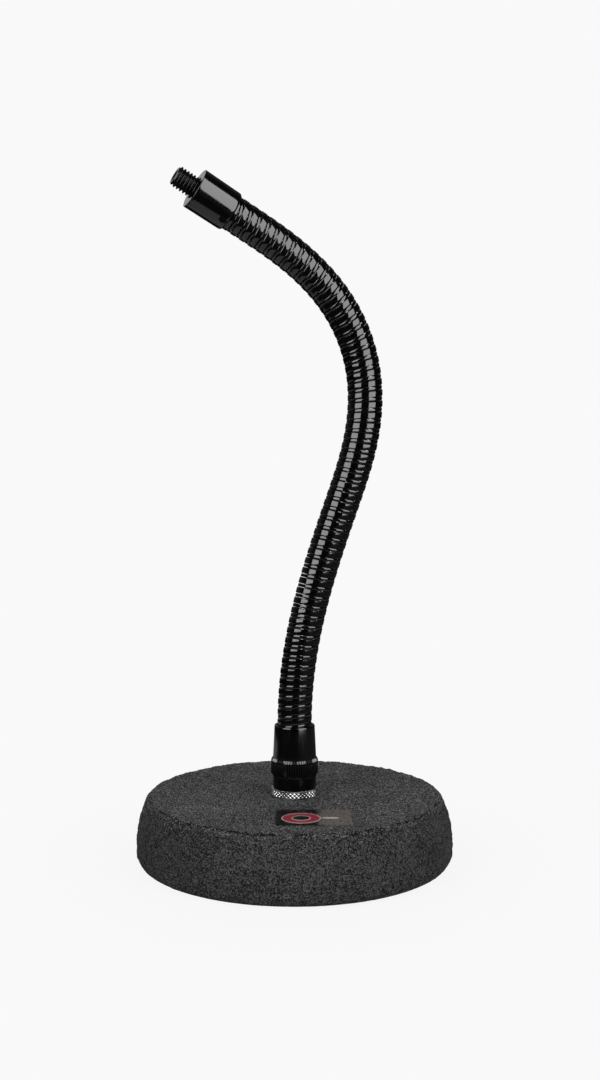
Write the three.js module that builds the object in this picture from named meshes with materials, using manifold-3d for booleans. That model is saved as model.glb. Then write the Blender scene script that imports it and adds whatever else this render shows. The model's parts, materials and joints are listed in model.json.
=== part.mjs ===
// Desktop microphone stand: a heavy round base, a flexible neck and a 3/8"-16 stud for a clip.
// Millimetres, +Z up. The desk is at z = 0 and the base stud stands on the Z axis.
// The neck rises from the base, leans to +X, curls back to -X and ends a little towards -Y.
import * as THREE from "three";
import { mergeVertices } from "three/addons/utils/BufferGeometryUtils.js";
import Module from "manifold-3d";

const wasm = await Module();
wasm.setup();

const FULL_TURN = 2 * Math.PI;
const INCH = 25.4;
const CLEARANCE = 0.3; // between neighbours that are cut, threaded or turned

// Heights of the stack that stands on the desk
const PAD_TOP = 0.6;
const BASE_TOP = 30;
const RING_TOP = 33.5;
const SKIRT_TOP = 39.2;
const COLLAR_TOP = 47.6;
const SLEEVE_TOP = 62.8;

// Cast base
const RIM_RADIUS = 68.4;
const RIM_FILLET = 2.8;
const BELLY_RADIUS = 72.7;
const BELLY_HIGH = 8;
const BELLY_LOW = 6.5;
const FOOT_RADIUS = 69.6;
const PAD_RADIUS = 66;
const WEB_THICKNESS = 12;
const NUT_RECESS_RADIUS = 24;
const RELIEF_INNER = 32;
const RELIEF_OUTER = 58;
const RELIEF_DEPTH = 12;
const DRAFT = 1.5; // how far a cast wall leans in over the depth of its hollow
const BASE_SIDES = 54;

// Fineness of round shapes
const TURNED_SIDES = 36;
const ARC_SEGMENTS = 16; // in each arc of an extruded outline
const PROFILE_SEGMENTS = 3; // in each round stretch of the casting's profile
const CORNER_SEGMENTS = 2; // in each corner of the label plate
const WELD_DISTANCE = 1e-3; // points closer than this are one point

// 5/8"-27 base stud and what threads on it
const STUD_RADIUS = (5 / 8) * INCH / 2;
const STUD_BORE = 5.5;
const STUD_CHAMFER = 0.6;
const THREADED_BORE = STUD_RADIUS + CLEARANCE;
const WASHER_RADIUS = 16;
const WASHER_THICKNESS = 1.6;
const LOCK_WASHER_RADIUS = 12.5;
const LOCK_WASHER_THICKNESS = 2;
const LOCK_WASHER_OPENING = THREE.MathUtils.degToRad(16);
const NUT_ACROSS_FLATS = (7 / 8) * INCH;
const NUT_THICKNESS = 6;
const STUD_BELOW_NUT = 1;

// Knurled ring, lower fitting and sleeve
const RING_RADIUS = 11;
const RING_TEETH = 40;
const SKIRT_RADIUS = 9.95;
const COLLAR_RADIUS = 10.85;
const COLLAR_TEETH = 36;
const KNURL_DEPTH = 0.4;
const KNURL_CHAMFER = 0.8;
const SLEEVE_FLOOR = 2.5;
const SLEEVE_LIP_RADIUS = 9.25;
const LIP_ROUNDING = 0.6;
const CABLE_BORE = 4;

// Flexible neck: a flat-topped outer wire wound in the grooves of a round core wire
const NECK_RADIUS = (5 / 8) * INCH / 2;
const LINK_COUNT = 14; // lengths of neck that turn on each other
const TURNS_PER_LINK = 4;
const NECK_LENGTH = 259; // the part that bends
const LINK_LENGTH = NECK_LENGTH / LINK_COUNT;
const COIL_PITCH = LINK_LENGTH / TURNS_PER_LINK;
const ANCHOR_LENGTH = 2 * COIL_PITCH; // held inside each sleeve
const BAND_WIDTH = 2.9;
const BAND_ROOT_WIDTH = 1.1;
const BAND_HEIGHT = 2.1;
const CORE_RADIUS = 0.95;
const CORE_CROWN = NECK_RADIUS - 0.25;
const COIL_SIDES = 10;
const BACK_OF_NECK = Math.PI / 2; // where each length of wire ends, out of sight
const PATH_STEP = 1;

// Shape the neck is bent to: how far it leans, in degrees, and where along its length
const CREST_LEAN = 18.9;
const CREST_AT = 106;
const END_LEAN = -58.5;
const SETTLED_AT = 253.5;
const END_FORWARD = 17;
const FORWARD_FROM = 146;

// Top ferrule, its set screw and the 3/8"-16 stud
const FERRULE_AT = NECK_LENGTH + 2.2; // where its mouth is along the neck
const FERRULE_LENGTH = 18.9;
const FERRULE_RADIUS = 9.15;
const FERRULE_MOUTH_RADIUS = 8.95;
const FERRULE_CHAMFER = 0.4;
const WIRE_END = NECK_LENGTH + ANCHOR_LENGTH + COIL_PITCH / 2 + CORE_RADIUS;
const FERRULE_SOCKET = WIRE_END - FERRULE_AT + CLEARANCE;
const TOP_STUD_RADIUS = (3 / 8) * INCH / 2;
const THREAD_PITCH = INCH / 16;
const THREAD_DEPTH = 0.61 * THREAD_PITCH;
const THREAD_SIDES = 14;
const SECTIONS_PER_PITCH = 6;
const TOP_STUD_OUT = 10.1;
const TOP_STUD_IN = 6.5;
const TOP_STUD_LEAD = 1.2; // length of the pointed lead at the tip
const SCREW_RADIUS = 1.4;
const SCREW_LENGTH = 0.75;
const SCREW_SOCKET_RADIUS = 0.8;
const SCREW_SOCKET_DEPTH = 0.4;
const SCREW_FROM_MOUTH = 2.8;
const SCREW_SUNK = 0.1;
const SCREW_ANGLE = THREE.MathUtils.degToRad(234);

// Label plate on the base, towards the front
const LABEL_LENGTH = 33;
const LABEL_WIDTH = 24;
const LABEL_THICKNESS = 0.4;
const LABEL_CORNER = 1.2;
const LABEL_CENTRE = [8.5, -40];

const PAINTED_IRON = { color: 0x3c3c3d, roughness: 0.75, metalness: 0.2 };
const FOAM_RUBBER = { color: 0x161617, roughness: 0.95, metalness: 0 };
const ZINC = { color: 0xb4b7ba, roughness: 0.4, metalness: 0.9 };
const CHROME = { color: 0xd8dadc, roughness: 0.18, metalness: 1 };
const BLACK_GLOSS = { color: 0x0c0c0d, roughness: 0.2, metalness: 0.5 };
const BLACK_WIRE = { color: 0x101011, roughness: 0.25, metalness: 0.6 };
const BLACK_OXIDE = { color: 0x09090a, roughness: 0.4, metalness: 0.6 };
const LABEL_FILM = { color: 0x4a4341, roughness: 0.35, metalness: 0.1 };

function piece(name, geometry, finish) {
  const mesh = new THREE.Mesh(geometry, new THREE.MeshStandardMaterial(finish));
  mesh.name = name;
  return mesh;
}

// Joins outlines with the same number of points into one skin. A closed row of outlines makes a ring,
// and an open one gets flat ends. Outlines run anticlockwise, seen from ahead.
function skin(outlines, closed) {
  const size = outlines[0].length;
  const spans = closed ? outlines.length : outlines.length - 1;
  const faces = [];
  for (let i = 0; i < spans; i++) {
    const here = i * size;
    const next = ((i + 1) % outlines.length) * size;
    for (let j = 0; j < size; j++) {
      const k = (j + 1) % size;
      faces.push(here + j, here + k, next + k);
      faces.push(here + j, next + k, next + j);
    }
  }
  if (!closed) {
    const last = (outlines.length - 1) * size;
    for (let j = 1; j < size - 1; j++) {
      faces.push(0, j + 1, j);
      faces.push(last, last + j, last + j + 1);
    }
  }
  const geometry = new THREE.BufferGeometry().setFromPoints(outlines.flat());
  geometry.setIndex(faces);
  return geometry;
}

// A turned ring. The profile is a closed row of [radius, height, share of the knurl], going round
// from the top of the bore over the outside to its foot.
function turned(profile, sides, knurlDepth = 0) {
  const outlines = [];
  for (let i = 0; i < sides; i++) {
    const angle = (i / sides) * FULL_TURN;
    const cut = knurlDepth * (i % 2);
    outlines.push(
      profile.map(([radius, height, share = 0]) => {
        const reach = radius - cut * share;
        return new THREE.Vector3(reach * Math.cos(angle), reach * Math.sin(angle), height);
      }),
    );
  }
  return skin(outlines, true);
}

function extruded(shape, depth, height, curveSegments = ARC_SEGMENTS) {
  const geometry = new THREE.ExtrudeGeometry(shape, { depth, bevelEnabled: false, curveSegments });
  return geometry.translate(0, 0, height);
}

function hexagon(acrossFlats) {
  const corner = acrossFlats / Math.sqrt(3);
  const shape = new THREE.Shape();
  for (let i = 0; i < 6; i++) {
    const angle = (i / 6) * FULL_TURN;
    shape.lineTo(corner * Math.cos(angle), corner * Math.sin(angle));
  }
  shape.curves.shift(); // the line from the centre to the first corner
  return shape;
}

function solid(geometry) {
  const plain = geometry.clone().deleteAttribute("normal").deleteAttribute("uv");
  const merged = mergeVertices(plain, WELD_DISTANCE);
  return new wasm.Manifold(
    new wasm.Mesh({
      numProp: 3,
      vertProperties: merged.attributes.position.array,
      triVerts: new Uint32Array(merged.index.array),
    }),
  );
}

function fromSolid(body) {
  const mesh = body.getMesh();
  const geometry = new THREE.BufferGeometry();
  geometry.setAttribute("position", new THREE.BufferAttribute(mesh.vertProperties, 3));
  geometry.setIndex(new THREE.BufferAttribute(mesh.triVerts, 1));
  return geometry;
}

// ---- Base ----

function castingProfile() {
  const webUnderside = BASE_TOP - WEB_THICKNESS;
  const reliefTop = PAD_TOP + RELIEF_DEPTH;
  const path = new THREE.Path();
  path.moveTo(THREADED_BORE, BASE_TOP);
  path.lineTo(RIM_RADIUS - RIM_FILLET, BASE_TOP);
  path.absarc(RIM_RADIUS - RIM_FILLET, BASE_TOP - RIM_FILLET, RIM_FILLET, Math.PI / 2, 0, true);
  path.quadraticCurveTo(BELLY_RADIUS, (BASE_TOP + BELLY_HIGH) / 2, BELLY_RADIUS, BELLY_HIGH);
  path.lineTo(BELLY_RADIUS, BELLY_LOW);
  path.absellipse(
    FOOT_RADIUS, BELLY_LOW, BELLY_RADIUS - FOOT_RADIUS, BELLY_LOW - PAD_TOP, 0, -Math.PI / 2, true,
  );
  path.lineTo(RELIEF_OUTER, PAD_TOP);
  path.lineTo(RELIEF_OUTER - DRAFT, reliefTop);
  path.lineTo(RELIEF_INNER + DRAFT, reliefTop);
  path.lineTo(RELIEF_INNER, PAD_TOP);
  path.lineTo(NUT_RECESS_RADIUS, PAD_TOP);
  path.lineTo(NUT_RECESS_RADIUS - DRAFT, webUnderside);
  path.lineTo(THREADED_BORE, webUnderside);
  return path.getPoints(PROFILE_SEGMENTS).map((point) => [point.x, point.y]);
}

function baseAssembly() {
  const group = new THREE.Group();
  const webUnderside = BASE_TOP - WEB_THICKNESS;
  const washerFoot = webUnderside - WASHER_THICKNESS;
  const lockWasherFoot = washerFoot - LOCK_WASHER_THICKNESS;
  const nutFoot = lockWasherFoot - NUT_THICKNESS;

  group.add(piece("base_casting", turned(castingProfile(), BASE_SIDES), PAINTED_IRON));

  const pad = new THREE.CylinderGeometry(PAD_RADIUS, PAD_RADIUS, PAD_TOP, BASE_SIDES);
  pad.rotateX(Math.PI / 2).translate(0, 0, PAD_TOP / 2);
  group.add(piece("base_pad", pad, FOAM_RUBBER));

  const studFoot = nutFoot - STUD_BELOW_NUT;
  const studTop = COLLAR_TOP - STUD_BELOW_NUT;
  const stud = turned(
    [
      [STUD_BORE, studTop],
      [STUD_RADIUS - STUD_CHAMFER, studTop],
      [STUD_RADIUS, studTop - STUD_CHAMFER],
      [STUD_RADIUS, studFoot + STUD_CHAMFER],
      [STUD_RADIUS - STUD_CHAMFER, studFoot],
      [STUD_BORE, studFoot],
    ],
    TURNED_SIDES,
  );
  group.add(piece("base_stud", stud, ZINC));

  const washer = turned(
    [
      [THREADED_BORE, webUnderside],
      [WASHER_RADIUS, webUnderside],
      [WASHER_RADIUS, washerFoot],
      [THREADED_BORE, washerFoot],
    ],
    TURNED_SIDES,
  );
  group.add(piece("flat_washer", washer, ZINC));

  const split = new THREE.Shape();
  split.absarc(0, 0, LOCK_WASHER_RADIUS, LOCK_WASHER_OPENING, FULL_TURN, false);
  split.absarc(0, 0, THREADED_BORE, FULL_TURN, LOCK_WASHER_OPENING, true);
  const lockWasher = extruded(split, LOCK_WASHER_THICKNESS, lockWasherFoot);
  group.add(piece("lock_washer", lockWasher, ZINC));

  const nutShape = hexagon(NUT_ACROSS_FLATS);
  nutShape.holes.push(new THREE.Path().absarc(0, 0, THREADED_BORE, 0, FULL_TURN, true));
  group.add(piece("stud_nut", extruded(nutShape, NUT_THICKNESS, nutFoot), ZINC));

  group.add(labelPlate());
  return group;
}

function labelPlate() {
  const x = LABEL_LENGTH / 2;
  const y = LABEL_WIDTH / 2;
  const inX = x - LABEL_CORNER;
  const inY = y - LABEL_CORNER;
  const shape = new THREE.Shape();
  shape.absarc(inX, inY, LABEL_CORNER, 0, Math.PI / 2, false);
  shape.absarc(-inX, inY, LABEL_CORNER, Math.PI / 2, Math.PI, false);
  shape.absarc(-inX, -inY, LABEL_CORNER, Math.PI, 1.5 * Math.PI, false);
  shape.absarc(inX, -inY, LABEL_CORNER, 1.5 * Math.PI, FULL_TURN, false);
  const film = extruded(shape, LABEL_THICKNESS, 0, CORNER_SEGMENTS);
  const plate = piece("label_plate", film, LABEL_FILM);
  plate.position.set(...LABEL_CENTRE, BASE_TOP);
  return plate;
}

// ---- Lock ring and the fitting at the foot of the neck ----

function lockRing() {
  const profile = [
    [THREADED_BORE, RING_TOP],
    [RING_RADIUS - KNURL_CHAMFER, RING_TOP],
    [RING_RADIUS, RING_TOP - KNURL_CHAMFER / 2, 1],
    [RING_RADIUS, BASE_TOP + KNURL_CHAMFER / 2, 1],
    [RING_RADIUS - KNURL_CHAMFER, BASE_TOP],
    [THREADED_BORE, BASE_TOP],
  ];
  return piece("lock_ring", turned(profile, 2 * RING_TEETH, KNURL_DEPTH), CHROME);
}

function lowerFitting() {
  const profile = [
    [THREADED_BORE, COLLAR_TOP],
    [COLLAR_RADIUS - KNURL_CHAMFER, COLLAR_TOP],
    [COLLAR_RADIUS, COLLAR_TOP - KNURL_CHAMFER, 1],
    [COLLAR_RADIUS, SKIRT_TOP + KNURL_CHAMFER, 1],
    [SKIRT_RADIUS, SKIRT_TOP],
    [SKIRT_RADIUS, RING_TOP],
    [THREADED_BORE, RING_TOP],
  ];
  return piece("lower_fitting", turned(profile, 2 * COLLAR_TEETH, KNURL_DEPTH), BLACK_GLOSS);
}

function lowerSleeve() {
  const profile = [
    [CABLE_BORE, COLLAR_TOP + SLEEVE_FLOOR],
    [THREADED_BORE, COLLAR_TOP + SLEEVE_FLOOR],
    [THREADED_BORE, SLEEVE_TOP],
    [SLEEVE_LIP_RADIUS - LIP_ROUNDING / 2, SLEEVE_TOP],
    [SLEEVE_LIP_RADIUS, SLEEVE_TOP - LIP_ROUNDING],
    [SKIRT_RADIUS, COLLAR_TOP],
    [CABLE_BORE, COLLAR_TOP],
  ];
  return piece("lower_sleeve", turned(profile, TURNED_SIDES), BLACK_GLOSS);
}

// ---- Neck ----

// The neck's own directions at a distance along it: ahead, to the side it leans to, and to the back.
function frameAt(distance) {
  const along = THREE.MathUtils.clamp(distance, 0, NECK_LENGTH);
  const rise = CREST_LEAN * Math.sin((Math.PI / 2) * Math.min(along / CREST_AT, 1));
  const curl = THREE.MathUtils.smoothstep(along, CREST_AT, SETTLED_AT);
  const lean = THREE.MathUtils.degToRad(rise + (END_LEAN - CREST_LEAN) * curl);
  const turn = THREE.MathUtils.smoothstep(along, FORWARD_FROM, SETTLED_AT);
  const forward = THREE.MathUtils.degToRad(END_FORWARD * turn);
  const level = Math.cos(forward);
  const ahead = new THREE.Vector3(
    Math.sin(lean) * level, -Math.sin(forward), Math.cos(lean) * level,
  );
  const side = new THREE.Vector3(Math.cos(lean), 0, -Math.sin(lean));
  const back = new THREE.Vector3().crossVectors(ahead, side);
  return { ahead, side, back };
}

function centreAt(distance) {
  const centre = new THREE.Vector3(0, 0, SLEEVE_TOP);
  const steps = Math.max(1, Math.ceil(Math.abs(distance) / PATH_STEP));
  const step = distance / steps;
  for (let i = 0; i < steps; i++) {
    centre.addScaledVector(frameAt((i + 0.5) * step).ahead, step);
  }
  return centre;
}

// A wire wound round the neck from one distance to another. The profile is a row of
// [radius, offset along the neck], and the wire winds like a right-hand thread.
function coil(from, to, lead, profile) {
  const endGap = (CLEARANCE / (FULL_TURN * NECK_RADIUS)) * COIL_PITCH;
  const start = from + endGap / 2;
  const length = to - from - endGap;
  const count = Math.round(((to - from) / COIL_PITCH) * COIL_SIDES);
  const outlines = [];
  for (let i = 0; i <= count; i++) {
    const distance = start + (length * i) / count;
    const angle = BACK_OF_NECK + (FULL_TURN * distance) / COIL_PITCH;
    const centre = centreAt(distance + lead);
    const { ahead, side, back } = frameAt(distance + lead);
    const outward = side.multiplyScalar(Math.cos(angle)).addScaledVector(back, Math.sin(angle));
    outlines.push(
      profile.map(([radius, offset]) =>
        centre.clone().addScaledVector(outward, radius).addScaledVector(ahead, offset),
      ),
    );
  }
  return skin(outlines, false);
}

function neckLink(index) {
  const number = String(index + 1).padStart(2, "0");
  const from = index === 0 ? -ANCHOR_LENGTH : index * LINK_LENGTH;
  const to = index === LINK_COUNT - 1 ? NECK_LENGTH + ANCHOR_LENGTH : (index + 1) * LINK_LENGTH;
  const bandRoot = NECK_RADIUS - BAND_HEIGHT;
  const band = [
    [bandRoot, BAND_ROOT_WIDTH / 2],
    [NECK_RADIUS, BAND_WIDTH / 2],
    [NECK_RADIUS, -BAND_WIDTH / 2],
    [bandRoot, -BAND_ROOT_WIDTH / 2],
  ];
  const coreCentre = CORE_CROWN - CORE_RADIUS;
  const core = [
    [coreCentre - CORE_RADIUS, 0],
    [coreCentre, CORE_RADIUS],
    [CORE_CROWN, 0],
    [coreCentre, -CORE_RADIUS],
  ];
  const group = new THREE.Group();
  group.add(piece(`outer_wire_${number}`, coil(from, to, 0, band), BLACK_WIRE));
  group.add(piece(`core_wire_${number}`, coil(from, to, COIL_PITCH / 2, core), BLACK_WIRE));
  return group;
}

// ---- Fittings at the free end, built upright with the ferrule's mouth at the origin ----

function screwPlace(geometry, outerFace) {
  geometry.rotateY(Math.PI / 2).translate(outerFace, 0, SCREW_FROM_MOUTH);
  return geometry.rotateZ(SCREW_ANGLE);
}

function topFerrule() {
  const profile = [
    [TOP_STUD_RADIUS + CLEARANCE, FERRULE_LENGTH],
    [FERRULE_RADIUS - FERRULE_CHAMFER, FERRULE_LENGTH],
    [FERRULE_RADIUS, FERRULE_LENGTH - FERRULE_CHAMFER],
    [FERRULE_MOUTH_RADIUS, LIP_ROUNDING],
    [FERRULE_MOUTH_RADIUS - LIP_ROUNDING, 0],
    [THREADED_BORE, 0],
    [THREADED_BORE, FERRULE_SOCKET],
    [TOP_STUD_RADIUS + CLEARANCE, FERRULE_SOCKET],
  ];
  const holeRadius = SCREW_RADIUS + CLEARANCE;
  const hole = new THREE.CylinderGeometry(holeRadius, holeRadius, FERRULE_RADIUS, ARC_SEGMENTS);
  hole.rotateZ(Math.PI / 2).translate(FERRULE_RADIUS, 0, SCREW_FROM_MOUTH).rotateZ(SCREW_ANGLE);
  const body = solid(turned(profile, TURNED_SIDES)).subtract(solid(hole));
  return piece("top_ferrule", fromSolid(body), BLACK_GLOSS);
}

function setScrew() {
  const outerFace = FERRULE_MOUTH_RADIUS - SCREW_SUNK;
  const round = new THREE.Shape().absarc(0, 0, SCREW_RADIUS, 0, FULL_TURN, false);
  const body = extruded(round, SCREW_LENGTH, -SCREW_LENGTH);
  const socket = extruded(hexagon(2 * SCREW_SOCKET_RADIUS), SCREW_LENGTH, -SCREW_SOCKET_DEPTH);
  const cut = solid(screwPlace(body, outerFace)).subtract(solid(screwPlace(socket, outerFace)));
  return piece("set_screw", fromSolid(cut), BLACK_OXIDE);
}

// Radius of the V-thread at a height and a share of a turn, cut down to the root at the tip.
function threadRadius(height, share, tip) {
  const phase = height / THREAD_PITCH - share;
  const groove = Math.abs(2 * (phase - Math.floor(phase)) - 1);
  const lead = Math.max(0, 1 - (tip - height) / TOP_STUD_LEAD);
  return TOP_STUD_RADIUS - THREAD_DEPTH * Math.max(groove, lead);
}

function topStud() {
  const tip = FERRULE_LENGTH + TOP_STUD_OUT;
  const count = Math.round((TOP_STUD_OUT / THREAD_PITCH) * SECTIONS_PER_PITCH);
  const heights = [FERRULE_LENGTH - TOP_STUD_IN];
  for (let i = 0; i <= count; i++) {
    heights.push(FERRULE_LENGTH + (TOP_STUD_OUT * i) / count);
  }
  const outlines = heights.map((height) => {
    const outline = [];
    for (let j = 0; j < THREAD_SIDES; j++) {
      const share = j / THREAD_SIDES;
      const angle = share * FULL_TURN;
      const radius = height > FERRULE_LENGTH ? threadRadius(height, share, tip) : TOP_STUD_RADIUS;
      outline.push(new THREE.Vector3(radius * Math.cos(angle), radius * Math.sin(angle), height));
    }
    return outline;
  });
  return piece("top_stud", skin(outlines, false), BLACK_OXIDE);
}

function freeEnd() {
  const group = new THREE.Group();
  group.add(topFerrule(), setScrew(), topStud());
  const { ahead, side, back } = frameAt(FERRULE_AT);
  group.quaternion.setFromRotationMatrix(new THREE.Matrix4().makeBasis(side, back, ahead));
  group.position.copy(centreAt(FERRULE_AT));
  return group;
}

const stand = new THREE.Group();
stand.add(baseAssembly(), lockRing(), lowerFitting(), lowerSleeve());
for (let index = 0; index < LINK_COUNT; index++) {
  stand.add(neckLink(index));
}
stand.add(freeEnd());

export default stand;
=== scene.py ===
import json
import math

import bpy
import numpy as np
from mathutils import Matrix, Vector, noise

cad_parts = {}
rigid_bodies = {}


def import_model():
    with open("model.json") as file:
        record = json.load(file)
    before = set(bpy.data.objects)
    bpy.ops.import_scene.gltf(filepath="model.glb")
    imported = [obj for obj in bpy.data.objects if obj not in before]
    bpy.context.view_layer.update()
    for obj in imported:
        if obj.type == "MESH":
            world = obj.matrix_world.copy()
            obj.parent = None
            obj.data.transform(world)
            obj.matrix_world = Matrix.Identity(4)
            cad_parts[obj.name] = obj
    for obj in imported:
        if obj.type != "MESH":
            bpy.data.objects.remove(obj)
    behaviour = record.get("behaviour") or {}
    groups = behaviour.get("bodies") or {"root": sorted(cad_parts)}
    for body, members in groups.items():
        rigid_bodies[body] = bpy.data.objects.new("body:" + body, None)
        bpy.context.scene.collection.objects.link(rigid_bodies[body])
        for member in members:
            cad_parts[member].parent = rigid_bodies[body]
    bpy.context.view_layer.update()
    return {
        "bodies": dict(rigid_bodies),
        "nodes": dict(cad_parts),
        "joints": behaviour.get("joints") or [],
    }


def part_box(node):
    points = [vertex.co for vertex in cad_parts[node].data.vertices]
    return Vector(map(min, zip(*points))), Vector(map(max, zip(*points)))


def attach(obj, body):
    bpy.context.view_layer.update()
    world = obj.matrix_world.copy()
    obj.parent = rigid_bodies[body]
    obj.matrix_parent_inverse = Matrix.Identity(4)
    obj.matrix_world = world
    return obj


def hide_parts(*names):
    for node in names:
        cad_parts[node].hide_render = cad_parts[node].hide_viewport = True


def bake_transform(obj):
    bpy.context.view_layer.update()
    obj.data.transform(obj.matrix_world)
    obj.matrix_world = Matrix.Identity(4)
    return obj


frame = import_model()

# The looks of a desktop microphone stand, built round its CAD frame.
# Shapes are worked out in millimetres, and become metres when a mesh is made.

MM = 0.001
FULL_TURN = 2 * math.pi


def lowest(node):
    return np.array(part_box(node)[0]) / MM


def highest(node):
    return np.array(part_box(node)[1]) / MM


# ---- Sizes taken from the frame ----

PAD_RADIUS, _, PAD_TOP = highest("base_pad")
BELLY_RADIUS, _, BASE_TOP = highest("base_casting")
RING_RADIUS, _, RING_TOP = highest("lock_ring")
COLLAR_RADIUS, _, COLLAR_TOP = highest("lower_fitting")
SLEEVE_RADIUS, _, SLEEVE_TOP = highest("lower_sleeve")
STUD_RADIUS = highest("base_stud")[0]
NECK_RADIUS = STUD_RADIUS
CLEARANCE = 0.3
BORE = STUD_RADIUS + CLEARANCE

# ---- Driving sizes of the finished shapes ----

# Casting
RIM_RADIUS = BELLY_RADIUS - 3.9
RIM_FILLET = 2.8
BELLY_HIGH = 8
BELLY_LOW = 6.5
FOOT_RADIUS = BELLY_RADIUS - 3.1
WEB_THICKNESS = 12
NUT_RECESS_RADIUS = 24
RELIEF_INNER = 32
RELIEF_OUTER = 58
RELIEF_DEPTH = 12
DRAFT = 1.5
CASTING_SIDES = 720
CASTING_SPACING = 0.6
CHIP_ANGLE = math.radians(-68)
CREASE_PAST_SHOULDER = 0.6
FADE_AT_BORE = 4
FADE_AT_FOOT = 6
PITS_BELOW = 16
PITS_DEEPEN_OVER = 10
PAD_EDGE = 0.3

# Label: sizes of its film and of the plain marks printed on it
LABEL_SEAT_EDGE = 1.5
LABEL_CORNER = 1.2
LABEL_EDGE = 0.08
INK = 0.03
MARK_FROM_LEFT = 11
MARK_BELOW_MIDDLE = 2
BAR_FROM_LEFT = 23.8
BAR_BELOW_MIDDLE = 1.5

# Lock ring, lower fitting and sleeve
RING_TEETH = 36
RING_KNURL_RISE = 1.7
RING_SPACING = 0.2
COLLAR_FOOT = RING_TOP + 5.7
COLLAR_TEETH = 56
SKIRT_RADIUS = SLEEVE_RADIUS
KNURL_DEPTH = 0.5
KNURL_CHAMFER = 0.8
COLLAR_LIP = 0.6
COLLAR_SPACING = 0.5
POINTS_PER_TOOTH = 8
SLEEVE_LIP_RADIUS = 9.25
SLEEVE_FLOOR = 2.5
CABLE_BORE = 4
SMOOTH_SIDES = 144

# Neck
LINKS = sum(body.startswith("neck_") for body in frame["bodies"])
TURNS_PER_LINK = 4
NECK_LENGTH = 259
LINK_LENGTH = NECK_LENGTH / LINKS
COIL_PITCH = LINK_LENGTH / TURNS_PER_LINK
ANCHOR_LENGTH = 2 * COIL_PITCH
BAND_WIDTH = 2.9
BAND_ROOT_WIDTH = 1.1
BAND_HEIGHT = 2.1
BAND_CHAMFER = 0.32
BAND_EDGE = 0.04
CORE_RADIUS = 0.95
CORE_CROWN = NECK_RADIUS - 0.18
CORE_HALF_WIDTH = 0.74
CORE_CROWN_HEIGHT = 0.22
SECTIONS_PER_TURN = 48
BACK_OF_NECK = math.pi / 2
PATH_STEP = 0.25

# Shape the neck is bent to in the frame: degrees of lean, and where along its length
CREST_LEAN = 18.9
CREST_AT = 106
END_LEAN = -58.5
SETTLED_AT = 253.5
END_FORWARD = 17
FORWARD_FROM = 146

# Free end
FERRULE_AT = NECK_LENGTH + 2.2
FERRULE_LENGTH = 18.9
FERRULE_RADIUS = 9.15
FERRULE_MOUTH_RADIUS = 8.95
FERRULE_SPACING = 1.2
WIRE_END = NECK_LENGTH + ANCHOR_LENGTH + COIL_PITCH / 2 + CORE_RADIUS
FERRULE_SOCKET = WIRE_END + CLEARANCE - FERRULE_AT
INCH = 25.4
TOP_STUD_RADIUS = 3 / 8 * INCH / 2
THREAD_PITCH = INCH / 16
THREAD_DEPTH = 0.61 * THREAD_PITCH
TOP_STUD_OUT = 10.1
TOP_STUD_IN = 6.5
TOP_STUD_LEAD = 1.2
DISH_RIM = 0.4
DISH_DEPTH = 0.9
THREAD_SIDES = 72
SECTIONS_PER_THREAD = 16
SCREW_HOLE_RADIUS = 1.7
SCREW_HOLE_SIDES = 32
SCREW_FROM_MOUTH = 2.8
SCREW_ANGLE = math.radians(234)


# ---- Nodes of the materials ----


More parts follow.
